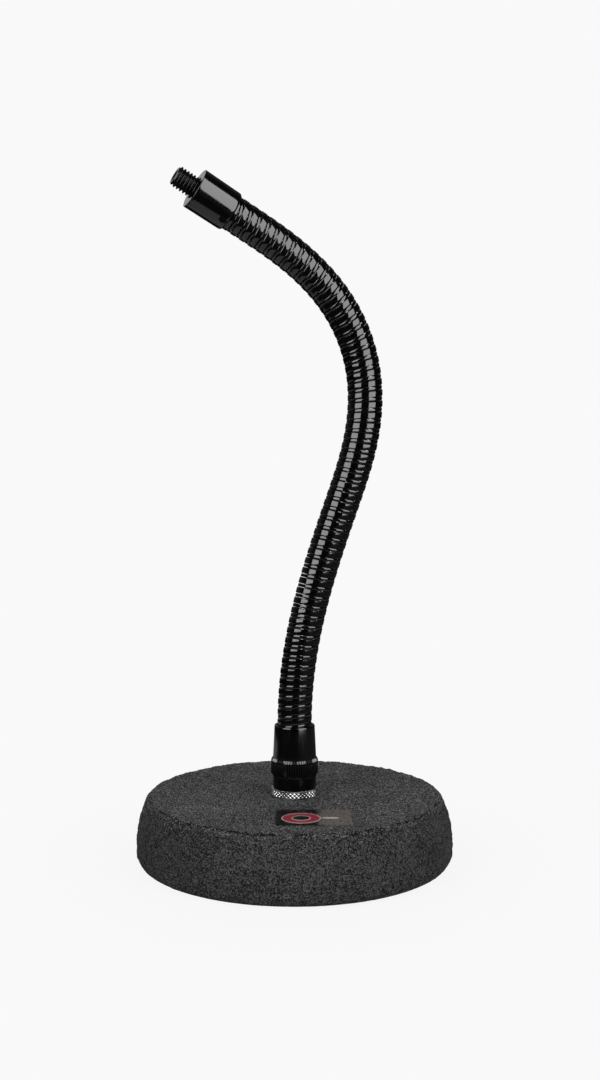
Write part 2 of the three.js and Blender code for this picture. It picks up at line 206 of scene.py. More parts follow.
class Finish:
    """A procedural material. Its textures lie on the object's own coordinates, in millimetres."""

    def __init__(self, name):
        self.material = bpy.data.materials.new(name)
        self.material.use_nodes = True
        self.tree = self.material.node_tree
        self.surface = self.tree.nodes["Principled BSDF"]
        place = self.node("TexCoord").outputs["Object"]
        scaled = self.node("VectorMath", {0: place, 1: (1 / MM,) * 3}, operation="MULTIPLY")
        self.place = scaled.outputs[0]

    def node(self, kind, inputs=None, **settings):
        made = self.tree.nodes.new("ShaderNode" + kind)
        for key, value in settings.items():
            setattr(made, key, value)
        for key, value in (inputs or {}).items():
            if isinstance(value, bpy.types.NodeSocket):
                self.tree.links.new(value, made.inputs[key])
            else:
                made.inputs[key].default_value = value
        return made

    def set(self, **inputs):
        """Sets the surface's inputs, with _ for the space in their names."""
        for key, value in inputs.items():
            socket = self.surface.inputs[key.replace("_", " ")]
            if isinstance(value, bpy.types.NodeSocket):
                self.tree.links.new(value, socket)
            else:
                socket.default_value = value

    def stretched(self, along_x, along_y, along_z):
        scale = (along_x, along_y, along_z)
        return self.node("VectorMath", {0: self.place, 1: scale}, operation="MULTIPLY").outputs[0]

    def noise(self, grain, detail=2.0, roughness=0.5, place=None):
        """Noise from 0 to 1 with lumps of about grain millimetres."""
        inputs = {"Vector": place or self.place, "Scale": 1 / grain}
        inputs |= {"Detail": detail, "Roughness": roughness}
        return self.node("TexNoise", inputs).outputs["Fac"]

    def cells(self, size, feature="F1"):
        """Distance pattern of cells of about size millimetres."""
        inputs = {"Vector": self.place, "Scale": 1 / size}
        return self.node("TexVoronoi", inputs, feature=feature).outputs["Distance"]

    def attribute(self, name):
        return self.node("Attribute", attribute_name=name).outputs["Fac"]

    def remap(self, value, start, end, low=0.0, high=1.0):
        inputs = {"Value": value, "From Min": start, "From Max": end, "To Min": low, "To Max": high}
        return self.node("MapRange", inputs).outputs["Result"]

    def math(self, operation, first, second=0.0):
        return self.node("Math", {0: first, 1: second}, operation=operation).outputs[0]

    def blend(self, share, first, second):
        """first where share is 0, second where it is 1."""
        made = self.node("Mix", data_type="RGBA")
        sockets = {"Factor": share, "A": first, "B": second}
        for socket in made.inputs:
            if socket.enabled and socket.name in sockets:
                value = sockets[socket.name]
                if isinstance(value, bpy.types.NodeSocket):
                    self.tree.links.new(value, socket)
                else:
                    socket.default_value = value
        return next(socket for socket in made.outputs if socket.enabled)

    def bump(self, height, depth, under=None):
        """Bumps of the given depth in millimetres, over the bumps under them."""
        inputs = {"Height": height, "Distance": depth * MM, "Strength": 1.0}
        if under is not None:
            inputs["Normal"] = under
        return self.node("Bump", inputs).outputs["Normal"]


def grey(level, warmth=0.0):
    return (level * (1 + warmth), level, level * (1 - warmth), 1)


def textured_iron():
    finish = Finish("textured_iron")
    relief = finish.attribute("relief")
    grain = finish.noise(0.72, detail=3, roughness=0.72)
    patches = finish.noise(7, detail=3)
    facing = finish.node("SeparateXYZ", {0: finish.node("NewGeometry").outputs["Normal"]}).outputs["Z"]
    upward = finish.remap(facing, 0.3, 0.95)
    # Painted shade: the stored relief darkens the paint in hollows, pits and the crease and lightens it on
    # lumps; the grain adds random dark flecks.
    relief_shade = finish.math("MULTIPLY", relief, 0.1)
    tone = finish.math("ADD", relief_shade, finish.math("MULTIPLY", grain, 0.9))
    # Painted light: faces that look up are painted lighter than the sides, as if lit more from above.
    top_lit_paint = finish.blend(upward, grey(0.083), grey(0.1))
    # Where the tone is low the paint is black: painted shade in the hollows, with random flecks from the
    # grain.
    paint = finish.blend(finish.remap(tone, 0.49, 0.53), grey(0.0), top_lit_paint)
    paint = finish.blend(finish.remap(patches, 0.35, 0.65, 0, 0.12), paint, grey(0.02, -0.03))
    specks = finish.remap(finish.noise(0.7, detail=1), 0.6, 0.64)
    # Worn specks of paint, painted lighter on faces that look up: real wear with painted light.
    worn_and_top_lit = finish.blend(upward, grey(0.13, 0.02), grey(0.3, 0.02))
    paint = finish.blend(finish.math("MULTIPLY", specks, 0.8), paint, worn_and_top_lit)
    fine = finish.bump(finish.noise(0.8, detail=3, roughness=0.7), 1.0)
    coarse = finish.bump(finish.noise(1.3, detail=3, roughness=0.6), 0.9, fine)
    finish.set(
        Base_Color=paint,
        Roughness=finish.remap(grain, 0.3, 0.7, 0.65, 0.85),
        Specular_IOR_Level=0.25,
        Normal=coarse,
    )
    return finish.material


def foam_pad():
    finish = Finish("foam_pad")
    cells = finish.cells(0.6)
    finish.set(
        Base_Color=finish.blend(finish.remap(cells, 0.1, 0.7), grey(0.006), grey(0.018, 0.02)),
        Roughness=finish.remap(finish.noise(5), 0.3, 0.7, 0.82, 0.95),
        Specular_IOR_Level=0.2,
        Normal=finish.bump(cells, 0.12),
    )
    return finish.material


def zinc_steel():
    finish = Finish("zinc_steel")
    spangle = finish.cells(1.8)
    turned_lines = finish.noise(0.25, place=finish.stretched(0.15, 0.15, 3))
    finish.set(
        Base_Color=finish.blend(finish.remap(spangle, 0.1, 0.9), grey(0.5), grey(0.68, -0.01)),
        Metallic=1.0,
        Roughness=finish.remap(finish.noise(3), 0.3, 0.7, 0.3, 0.5),
        Normal=finish.bump(turned_lines, 0.02),
    )
    return finish.material


def chrome_ring():
    finish = Finish("chrome_ring")
    depth = finish.attribute("relief")
    grime = finish.noise(0.8, detail=3)
    # Painted shade: the knurl's grooves are painted near black, a little uneven with the grime noise.
    in_groove = finish.remap(depth, 0.72, 0.54)
    groove_shade = finish.math("MULTIPLY", in_groove, finish.remap(grime, 0.25, 0.5, 0.85, 1))
    finish.set(
        Base_Color=finish.blend(groove_shade, grey(1.0, 0.005), grey(0.01, 0.1)),
        Metallic=1.0,
        Roughness=finish.remap(grime, 0.3, 0.7, 0.25, 0.36),
        Normal=finish.bump(grime, 0.01),
    )
    return finish.material


def black_gloss(name, roughest, scratch_grain, dull_foot=None):
    """Smooth black plating with faint rubbing marks and a trace of dust in its colour.
    dull_foot gives the heights between which its shine grows from dull to full."""
    finish = Finish(name)
    rubbed = finish.noise(scratch_grain, detail=4, roughness=0.65, place=finish.stretched(1, 1, 0.12))
    patches = finish.noise(6, detail=3)
    shine = 1.0
    if dull_foot:
        height = finish.node("SeparateXYZ", {0: finish.place}).outputs["Z"]
        shine = finish.remap(height, *dull_foot, 0.2, 1.0)
    finish.set(
        Base_Color=finish.blend(finish.remap(patches, 0.35, 0.75), grey(0.0008), grey(0.002, 0.03)),
        Roughness=finish.remap(rubbed, 0.3, 0.75, 0.05, roughest),
        Specular_IOR_Level=shine,
        Normal=finish.bump(rubbed, 0.003),
    )
    return finish.material


def wire(name, grain):
    """Black plated wire, rubbed a little greyer where its relief is highest."""
    finish = Finish(name)
    rub = finish.noise(grain, detail=3, roughness=0.6)
    edge = finish.attribute("relief")
    worn = finish.math("MULTIPLY", finish.remap(edge, 0.6, 1.0), finish.remap(rub, 0.5, 0.7))
    finish.set(
        Base_Color=finish.blend(worn, grey(0.001), grey(0.008, 0.04)),
        Roughness=finish.remap(rub, 0.3, 0.75, 0.05, 0.14),
        Specular_IOR_Level=1.0,
        Normal=finish.bump(finish.noise(1.1, detail=2), 0.004),
    )
    return finish.material


def black_oxide():
    finish = Finish("black_oxide")
    bloom = finish.noise(1.3, detail=4)
    finish.set(
        Base_Color=finish.blend(finish.remap(bloom, 0.4, 0.75), grey(0.001), grey(0.004, 0.05)),
        Roughness=finish.remap(bloom, 0.3, 0.75, 0.15, 0.32),
        Specular_IOR_Level=0.6,
        Normal=finish.bump(finish.noise(0.3), 0.01),
    )
    return finish.material


def sunk_screw():
    """The screw's socket end, dull and sooty in its hole."""
    finish = Finish("sunk_screw")
    soot = finish.noise(0.6, detail=3)
    finish.set(
        Base_Color=finish.blend(soot, grey(0.001), grey(0.004)),
        Roughness=finish.remap(soot, 0.3, 0.7, 0.45, 0.65),
        Specular_IOR_Level=0.15,
        Normal=finish.bump(soot, 0.02),
    )
    return finish.material


def label_film():
    finish = Finish("label_film")
    x = finish.node("SeparateXYZ", {0: finish.place}).outputs["X"]
    wavy = finish.math("ADD", x, finish.math("MULTIPLY", finish.noise(4), 5.0))
    brown = finish.remap(wavy, 12, 15)
    mottle = finish.noise(1.6, detail=4)
    brown_panel = finish.blend(mottle, (0.07, 0.056, 0.05, 1), (0.13, 0.11, 0.1, 1))
    finish.set(
        Base_Color=finish.blend(brown, grey(0.004), brown_panel),
        Roughness=finish.remap(mottle, 0.3, 0.7, 0.22, 0.4),
        Specular_IOR_Level=0.2,
        Normal=finish.bump(finish.noise(2.5), 0.04),
    )
    return finish.material


def printed(name, colour, lighter):
    finish = Finish(name)
    speckle = finish.noise(0.5, detail=3)
    finish.set(
        Base_Color=finish.blend(finish.remap(speckle, 0.35, 0.7), colour, lighter),
        Roughness=finish.remap(speckle, 0.3, 0.7, 0.3, 0.5),
        Normal=finish.bump(speckle, 0.01),
    )
    return finish.material


# ---- Mesh making ----


def rounded(corners, steps=5):
    """A closed outline through corners (x, y, rounding), each corner turned into a curve of that reach."""
    outline = []
    for i, (x, y, radius) in enumerate(corners):
        corner = np.array((x, y), float)
        before = np.array(corners[i - 1][:2]) - corner
        after = np.array(corners[(i + 1) % len(corners)][:2]) - corner
        before /= np.linalg.norm(before)
        after /= np.linalg.norm(after)
        if radius == 0:
            outline.append(corner)
            continue
        reach = radius / math.tan(math.acos(np.clip(before @ after, -1, 1)) / 2)
        for t in np.linspace(0, 1, steps + 1):
            outline.append(corner + (1 - t) ** 2 * reach * before + t**2 * reach * after)
    return np.array(outline)


def skin(name, rows, material, ring, relief=None, sharp=30):
    """One closed body through rows of points. A ring joins its last row to its first; others get flat ends.
    Points of a row run anticlockwise, seen from ahead. Relief is stored on the points for the material."""
    count, size = rows.shape[:2]
    spans = np.arange(count if ring else count - 1)[:, None]
    here = spans * size
    ahead = ((spans + 1) % count) * size
    j = np.arange(size)[None, :]
    k = (j + 1) % size
    faces = np.stack([here + j, here + k, ahead + k, ahead + j], axis=-1).reshape(-1, 4).tolist()
    if not ring:
        faces.append(list(range(size))[::-1])
        faces.append(list(range((count - 1) * size, count * size)))
    mesh = bpy.data.meshes.new(name)
    mesh.from_pydata((rows.reshape(-1, 3) * MM).tolist(), [], faces)
    mesh.shade_smooth()
    mesh.set_sharp_from_angle(angle=math.radians(sharp))
    if relief is not None:
        layer = mesh.attributes.new("relief", "FLOAT", "POINT")
        layer.data.foreach_set("value", np.ascontiguousarray(relief, np.float32).ravel())
    mesh.materials.append(material)
    piece = bpy.data.objects.new(name, mesh)
    bpy.context.scene.collection.objects.link(piece)
    return piece


def around(radius, angle, height):
    """Points at a radius and angle about the Z axis."""
    x, y, z = np.broadcast_arrays(radius * np.cos(angle), radius * np.sin(angle), height)
    return np.stack([x, y, z], axis=-1)


def turned(name, outline, sides, material, cut=None):
    """A turned ring with a closed outline of (radius, height).
    cut(angle, radius, height) is how deep it is cut, and is stored as relief, 1 where it isn't cut."""
    angle = (np.arange(sides) * FULL_TURN / sides)[:, None]
    radius, height = outline[None, :, 0], outline[None, :, 1]
    depth = cut(angle, radius, height) if cut else np.zeros((sides, len(outline)))
    relief = 1 - depth / KNURL_DEPTH
    return skin(name, around(radius - depth, angle, height), material, True, relief)


def finished(piece, body, slot, *nodes):
    """Puts a piece on its body and in place of its CAD nodes; its slot is not used."""
    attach(piece, body)
    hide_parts(*nodes)
    return piece


# ---- Base ----


def spaced(points, spacing):
    """The same line with points no further apart than the spacing."""
    line = [points[0]]
    for start, end in zip(points, points[1:]):
        steps = max(1, math.ceil(np.linalg.norm(np.subtract(end, start)) / spacing))
        line += [np.add(start, np.subtract(end, start) * (i + 1) / steps) for i in range(steps)]
    return np.array(line)


def casting_face():
    """Outline of the casting that shows, from the bore over the rim to the foot."""
    top = [(BORE, BASE_TOP)]
    quarter = np.linspace(0, math.pi / 2, 9)
    fillet_centre = RIM_RADIUS - RIM_FILLET
    fillet = [
        (fillet_centre + RIM_FILLET * math.sin(a), BASE_TOP - RIM_FILLET + RIM_FILLET * math.cos(a))
        for a in quarter
    ]
    fillet_foot = BASE_TOP - RIM_FILLET
    side = []
    for t in np.linspace(0, 1, 17)[1:]:
        radius = (1 - t) ** 2 * RIM_RADIUS + (1 - (1 - t) ** 2) * BELLY_RADIUS
        height = (1 - t) ** 2 * fillet_foot + t * (1 - t) * (BASE_TOP + BELLY_HIGH) + t**2 * BELLY_HIGH
        side.append((radius, height))
    foot = [
        (
            FOOT_RADIUS + (BELLY_RADIUS - FOOT_RADIUS) * math.cos(a),
            BELLY_LOW - (BELLY_LOW - PAD_TOP) * math.sin(a),
        )
        for a in quarter
    ]
    return spaced(top + fillet + side + foot, CASTING_SPACING)


def casting_underside():
    web = BASE_TOP - WEB_THICKNESS
    relief_top = PAD_TOP + RELIEF_DEPTH
    return np.array(
        [
            (RELIEF_OUTER, PAD_TOP),
            (RELIEF_OUTER - DRAFT, relief_top),
            (RELIEF_INNER + DRAFT, relief_top),
            (RELIEF_INNER, PAD_TOP),
            (NUT_RECESS_RADIUS, PAD_TOP),
            (NUT_RECESS_RADIUS - DRAFT, web),
            (BORE, web),
        ]
    )


def crease_depth(angle, reach):
    """A cold shut: an uneven crack that follows the rim at the front, and one chip in it.
    Reach is the way past the rim's shoulder."""
    wander = 0.7 * noise.noise(Vector((4 * math.cos(angle), 4 * math.sin(angle), 7)))
    strength = noise.noise(Vector((9 * math.cos(angle), 9 * math.sin(angle), 2))) + 0.2
    front = max(0.0, -math.sin(angle)) ** 0.5
    crack = front * max(0.0, min(1.0, 3 * strength)) * math.exp(-(((reach - wander) / 0.6) ** 2))
    across = RIM_RADIUS * (math.remainder(angle - CHIP_ANGLE, FULL_TURN))
    chip = math.exp(-((across / 2.6) ** 2) - ((reach - 0.9) / 0.8) ** 2)
    return 0.6 * crack + 0.9 * chip


def casting_relief(place, lower):
    """Height of the rough skin, in millimetres, at a place on the casting."""
    relief_shade = 0.28 * noise.noise(place / 17)
    lumps = 0.3 * noise.noise(place / 3.4) + 0.3 * noise.noise(place / 1.9)
    grain = 0.3 * noise.noise(place / 1.15)
    pits = -1.1 * lower * max(0.0, noise.noise(place / 2.6 + Vector((9, 4, 2))) - 0.22)
    return relief_shade + lumps + grain + pits


def base_casting():
    face = casting_face()
    tangent = np.gradient(face, axis=0)
    tangent /= np.linalg.norm(tangent, axis=1)[:, None]
    normal = np.stack([-tangent[:, 1], tangent[:, 0]], axis=-1)
    along = np.concatenate([[0], np.cumsum(np.linalg.norm(np.diff(face, axis=0), axis=1))])
    shoulder = RIM_RADIUS - RIM_FILLET - BORE + CREASE_PAST_SHOULDER
    fade = np.clip(along / FADE_AT_BORE, 0, 1) * np.clip((along[-1] - along) / FADE_AT_FOOT, 0, 1)
    angles = np.arange(CASTING_SIDES) * FULL_TURN / CASTING_SIDES
    rough = np.zeros((CASTING_SIDES, len(face)))
    crease = np.zeros_like(rough)
    for i, angle in enumerate(angles):
        c, s = math.cos(angle), math.sin(angle)
        for j, (radius, height) in enumerate(face):
            place = Vector((radius * c, radius * s, height))
            lower = min(1.0, max(0.0, (PITS_BELOW - height) / PITS_DEEPEN_OVER))
            rough[i, j] = casting_relief(place, lower)
            crease[i, j] = crease_depth(angle, along[j] - shoulder)
    # the label lies flat on a seat that the rough skin leaves free
    relief = fade * label_seat(angles[:, None], face[None, :, 0]) * (rough - crease)
    radius = face[None, :, 0] - relief * normal[None, :, 0]
    height = face[None, :, 1] - relief * normal[None, :, 1]
    shown = around(radius, angles[:, None], height)
    under = casting_underside()
    hidden = around(under[None, :, 0], angles[:, None], under[None, :, 1])
    rows = np.concatenate([shown, hidden], axis=1)
    # Painted shade: the tone follows the rough skin's height, and the crease and its chip are darkened by
    # three times their depth.
    tone = np.concatenate([0.5 + relief - 3 * crease, np.full(hidden.shape[:2], 0.5)], axis=1)
    piece = skin("cast_base", rows, MATERIAL["textured_iron"], True, tone, sharp=60)
    return finished(piece, "base", "textured_iron", "base_casting")


def label_seat(angle, radius):
    """0 under the label and 1 away from it."""
    low_corner, high_corner = lowest("label_plate"), highest("label_plate")
    centre, half = (low_corner + high_corner) / 2, (high_corner - low_corner) / 2
    x = np.abs(radius * np.cos(angle) - centre[0]) - half[0]
    y = np.abs(radius * np.sin(angle) - centre[1]) - half[1]
    return np.clip(np.maximum(x, y) / LABEL_SEAT_EDGE, 0, 1)


def base_pad():
    corners = [(0, PAD_TOP, 0), (PAD_RADIUS, PAD_TOP, PAD_EDGE), (PAD_RADIUS, 0, PAD_EDGE), (0, 0, 0)]
    edge = rounded(corners)[1:-1]  # without the two points on the axis, where flat ends close the pad
    angle = (np.arange(SMOOTH_SIDES) * FULL_TURN / SMOOTH_SIDES)[:, None]
    rows = around(edge[None, :, 0], angle, edge[None, :, 1]).transpose(1, 0, 2)[::-1]
    piece = skin("foam_foot", rows, MATERIAL["foam_pad"], False)
    return finished(piece, "base", "foam_pad", "base_pad")


def plate(name, outline, foot, top, material, edge):
    """A flat plate over an anticlockwise outline, with its upper edge rounded over."""
    centre = outline.mean(axis=0)
    span = np.abs(outline - centre).max(axis=0)
    levels = [(0, foot)] + [
        (edge * (1 - math.cos(a)), top - edge + edge * math.sin(a)) for a in np.linspace(0, math.pi / 2, 5)
    ]
    rows = [
        np.column_stack([centre + (outline - centre) * (1 - inset / span), np.full(len(outline), height)])
        for inset, height in levels
    ]
    return skin(name, np.array(rows), material, False)


def ellipse(centre, radius_x, radius_y, sides=64):
    angle = np.arange(sides) * FULL_TURN / sides
    return np.array(centre) + np.column_stack([radius_x * np.cos(angle), radius_y * np.sin(angle)])


def label():
    low_corner, high_corner = lowest("label_plate"), highest("label_plate")
    left, front, foot = low_corner
    right, back, film_top = high_corner
    corners = [(left, front), (right, front), (right, back), (left, back)]
    outline = rounded([(x, y, LABEL_CORNER) for x, y in corners])
    film = plate("label_film", outline, foot, film_top, MATERIAL["label_film"], LABEL_EDGE)
    finished(film, "base", "label_film", "label_plate")
    middle = (front + back) / 2
    mark_centre = (left + MARK_FROM_LEFT, middle - MARK_BELOW_MIDDLE)
    bar_centre = (left + BAR_FROM_LEFT, middle - BAR_BELOW_MIDDLE)
    prints = [
        ("label_mark_rim", ellipse(mark_centre, 8.6, 8.2), 1, "pale_print"),
        ("label_mark", ellipse(mark_centre, 8.1, 7.5), 2, "red_print"),
        ("label_mark_inner_rim", ellipse(mark_centre, 4.2, 3.9), 3, "pale_print"),
        ("label_mark_middle", ellipse(mark_centre, 3.7, 3.2), 4, "label_film"),
        ("label_bar", ellipse(bar_centre, 3.8, 1.3), 1, "pale_print"),
    ]
    for name, shape, layer, ink_name in prints:
        top = film_top + layer * INK
        piece = plate(name, shape, top - INK, top, MATERIAL[ink_name], INK / 3)
        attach(piece, "base")


# ---- Lock ring, lower fitting and lower sleeve ----


def groove(turns):
    """A V groove at each whole number: 1 at its bottom and 0 halfway to the next."""
    return np.abs(2 * (turns % 1) - 1)


def rope_knurl(angle, radius, height):
    turn = angle / FULL_TURN * RING_TEETH
    rise = (height - BASE_TOP) / RING_KNURL_RISE
    crossing = np.maximum(groove(turn + rise), 0.9 * groove(turn - rise)) ** 2
    share = np.clip(2 * (radius - RING_RADIUS + KNURL_CHAMFER) / KNURL_CHAMFER, 0, 1)
    return KNURL_DEPTH * crossing * share


def straight_knurl(angle, radius, height):
    share = np.clip(3 * (radius - SKIRT_RADIUS) / (COLLAR_RADIUS - SKIRT_RADIUS), 0, 1)
    return KNURL_DEPTH * groove(angle / FULL_TURN * COLLAR_TEETH) * share


def lock_ring():
    corners = [
        (BORE, RING_TOP, 0),
        (RING_RADIUS - KNURL_CHAMFER, RING_TOP, 0.15),
        (RING_RADIUS, RING_TOP - KNURL_CHAMFER / 2, 0.2),
        (RING_RADIUS, BASE_TOP + KNURL_CHAMFER / 2, 0.2),
        (RING_RADIUS - KNURL_CHAMFER, BASE_TOP, 0),
        (BORE, BASE_TOP, 0),
    ]
    outline = spaced(rounded(corners, 3).tolist(), RING_SPACING)
    sides = RING_TEETH * POINTS_PER_TOOTH
    piece = turned("chrome_lock_ring", outline, sides, MATERIAL["chrome_ring"], rope_knurl)
    return finished(piece, "lock_ring", "chrome_ring", "lock_ring")


def lower_fitting():
    corners = [
        (BORE, COLLAR_TOP, 0),
        (COLLAR_RADIUS - COLLAR_LIP, COLLAR_TOP, 0.2),
        (COLLAR_RADIUS, COLLAR_TOP - 2 * COLLAR_LIP, 1.2),
        (COLLAR_RADIUS, COLLAR_FOOT + 2 * COLLAR_LIP, 0.8),
        (SKIRT_RADIUS, COLLAR_FOOT, 0.2),
        (SKIRT_RADIUS, RING_TOP, 0.15),
        (BORE, RING_TOP, 0),
    ]
    outline = spaced(rounded(corners, 6).tolist(), COLLAR_SPACING)
    sides = COLLAR_TEETH * POINTS_PER_TOOTH
    piece = turned("knurled_fitting", outline, sides, MATERIAL["black_knurl"], straight_knurl)
    return finished(piece, "neck_01", "black_fitting", "lower_fitting")


def lower_sleeve():
    socket_floor = COLLAR_TOP + SLEEVE_FLOOR
    corners = [
        (CABLE_BORE, socket_floor, 0),
        (BORE, socket_floor, 0),
        (BORE, SLEEVE_TOP, 0.15),
        (SLEEVE_LIP_RADIUS, SLEEVE_TOP, 0.7),
        (SLEEVE_RADIUS, COLLAR_TOP, 0.1),
        (CABLE_BORE, COLLAR_TOP, 0),
    ]
    piece = turned("neck_sleeve", rounded(corners, 6), SMOOTH_SIDES, MATERIAL["black_fitting"])
    return finished(piece, "neck_01", "black_fitting", "lower_sleeve")


# ---- Neck ----


def smoothstep(value, start, end):
    t = np.clip((value - start) / (end - start), 0, 1)
    return t * t * (3 - 2 * t)


def directions(distance):
    """The neck's own directions at distances along it: ahead, to its side, and to its back."""
    along = np.clip(np.asarray(distance, float), 0, NECK_LENGTH)
    rise = CREST_LEAN * np.sin(math.pi / 2 * np.minimum(along / CREST_AT, 1))
    curl = smoothstep(along, CREST_AT, SETTLED_AT)
    lean = np.radians(rise + (END_LEAN - CREST_LEAN) * curl)
    forward = np.radians(END_FORWARD * smoothstep(along, FORWARD_FROM, SETTLED_AT))
    ahead = np.stack([np.sin(lean) * np.cos(forward), -np.sin(forward), np.cos(lean) * np.cos(forward)], -1)
    side = np.stack([np.cos(lean), 0 * lean, -np.sin(lean)], -1)
    return ahead, side, np.cross(ahead, side)


PATH_START = -2 * ANCHOR_LENGTH
PATH_DISTANCE = np.arange(PATH_START, NECK_LENGTH + 2 * ANCHOR_LENGTH, PATH_STEP)
PATH_RISE = np.cumsum(directions(PATH_DISTANCE + PATH_STEP / 2)[0], axis=0) * PATH_STEP
PATH_POINT = np.concatenate([np.zeros((1, 3)), PATH_RISE[:-1]]) + (0, 0, SLEEVE_TOP + PATH_START)


def centres(distance):
    """Points of the neck's centre line."""
    return np.stack([np.interp(distance, PATH_DISTANCE, PATH_POINT[:, axis]) for axis in range(3)], -1)


def check_neck():
    """Stops the script if the neck's formula and the frame's hinges differ."""
    for joint in frame["joints"]:
        if joint["parent"].startswith("neck_"):
            link = int(joint["parent"][-2:])
            gap = np.linalg.norm(centres(link * LINK_LENGTH) * MM - np.array(joint["pos_m"]))
            if gap > 0.1 * MM:
                raise ValueError(f"the neck passes {gap / MM:.2f} mm from hinge {joint['name']}")


def coil(name, start, end, lead, outline, relief, material):
    """A length of wire wound round the neck. The outline is a row of (radius, offset along the neck)."""
    count = round((end - start) / COIL_PITCH * SECTIONS_PER_TURN) + 1
    distance = np.linspace(start, end, count)
    angle = (BACK_OF_NECK + FULL_TURN * distance / COIL_PITCH)[:, None]
    ahead, side, back = directions(distance + lead)
    outward = side * np.cos(angle) + back * np.sin(angle)
    rows = (
        centres(distance + lead)[:, None, :]
        + outward[:, None, :] * outline[None, :, :1]
        + ahead[:, None, :] * outline[None, :, 1:]
    )
    return skin(name, rows, material, False, np.tile(relief, (count, 1)))


def band_outline():
    root = NECK_RADIUS - BAND_HEIGHT
    return rounded(
        [
            (root, BAND_ROOT_WIDTH / 2, 0),
            (NECK_RADIUS - BAND_CHAMFER, BAND_WIDTH / 2, BAND_EDGE),
            (NECK_RADIUS, BAND_WIDTH / 2 - BAND_CHAMFER, BAND_EDGE),
            (NECK_RADIUS, BAND_CHAMFER - BAND_WIDTH / 2, BAND_EDGE),
            (NECK_RADIUS - BAND_CHAMFER, -BAND_WIDTH / 2, BAND_EDGE),
            (root, -BAND_ROOT_WIDTH / 2, 0),
        ],
        2,
    )


def core_outline():
    """A round wire with its crown pressed flatter."""
    angle = np.linspace(0, FULL_TURN, 21)[:-1]
    rise = np.where(np.cos(angle) > 0, CORE_CROWN_HEIGHT, CORE_RADIUS) * np.cos(angle)
    return np.column_stack([CORE_CROWN - CORE_CROWN_HEIGHT + rise, -CORE_HALF_WIDTH * np.sin(angle)])


def neck():
    """Each half link at the ends rides its own body, and each length between them spans one hinge and rides
    no body.
    """
    band = band_outline()
    band_relief = np.clip(np.abs(band[:, 1]) / (BAND_WIDTH / 2), 0, 1)
    core = core_outline()
    core_relief = np.clip(core[:, 0] / CORE_CROWN, 0, 1)
    for zone in range(LINKS + 1):
        start = -ANCHOR_LENGTH if zone == 0 else (zone - 0.5) * LINK_LENGTH
        end = NECK_LENGTH + ANCHOR_LENGTH if zone == LINKS else (zone + 0.5) * LINK_LENGTH
        links = [link for link in (zone, zone + 1) if 1 <= link <= LINKS]
        wires = [
            ("neck_band", "outer_wire", 0, band, band_relief),
            ("neck_core", "core_wire", COIL_PITCH / 2, core, core_relief),
        ]
        for label_name, slot, lead, outline, relief in wires:
            name = f"{label_name}_{zone + 1:02d}"
            piece = coil(name, start, end, lead, outline, relief, MATERIAL[slot])
            if len(links) == 1:
                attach(piece, f"neck_{links[0]:02d}")
            else:
                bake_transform(piece)
            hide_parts(*[f"{slot}_{link:02d}" for link in links])


# ---- Free end, built upright with the ferrule's mouth at the origin ----


def free_end_place():
    ahead, side, back = directions(FERRULE_AT)
    place = Matrix((side, back, ahead)).transposed().to_4x4()
    place.translation = Vector(centres(FERRULE_AT) * MM)
    return place


def top_ferrule():
    stud_hole = TOP_STUD_RADIUS + CLEARANCE
    corners = [
        (stud_hole, FERRULE_LENGTH, 0.2),
        (FERRULE_RADIUS, FERRULE_LENGTH, 0.35),
        (FERRULE_MOUTH_RADIUS, 0, 1.3),
        (BORE, 0, 0.1),
        (BORE, FERRULE_SOCKET, 0),
        (stud_hole, FERRULE_SOCKET, 0),
    ]
    outline = spaced(rounded(corners, 6).tolist(), FERRULE_SPACING)
    piece = turned("end_ferrule", outline, SMOOTH_SIDES, MATERIAL["black_fitting"])
    cut_screw_hole(piece)
    piece.data.transform(free_end_place())
    return finished(piece, "neck_14", "black_fitting", "top_ferrule")


def cut_screw_hole(piece):
    """Cuts the set screw's hole through the ferrule's wall, near its mouth."""
    circle = ellipse((0, SCREW_FROM_MOUTH), SCREW_HOLE_RADIUS, SCREW_HOLE_RADIUS, SCREW_HOLE_SIDES)
    ends = (BORE - 2, FERRULE_RADIUS + 2)
    rows = np.array([np.column_stack([np.full(len(circle), end), circle]) for end in ends])
    cutter = skin("screw_hole_cutter", rows, MATERIAL["black_fitting"], False)
    cutter.data.transform(Matrix.Rotation(SCREW_ANGLE, 4, "Z"))
    hole = piece.modifiers.new("screw_hole", "BOOLEAN")
    hole.operation = "DIFFERENCE"
    hole.object = cutter
    cut = piece.evaluated_get(bpy.context.evaluated_depsgraph_get())
    mesh = bpy.data.meshes.new_from_object(cut)
    piece.modifiers.clear()
    mesh.set_sharp_from_angle(angle=math.radians(30))
    piece.data = mesh
    bpy.data.objects.remove(cutter)


def thread_radius(height, share):
    """Radius of the V-thread, with flattened crests and roots, cut down to its root at the tip."""
    phase = groove(height / THREAD_PITCH - share)
    depth = np.clip(1.3 * phase - 0.15, 0, 1)
    tip = FERRULE_LENGTH + TOP_STUD_OUT
    lead = np.clip(1 - (tip - height) / TOP_STUD_LEAD, 0, 1)
    return TOP_STUD_RADIUS - THREAD_DEPTH * np.maximum(depth, lead)


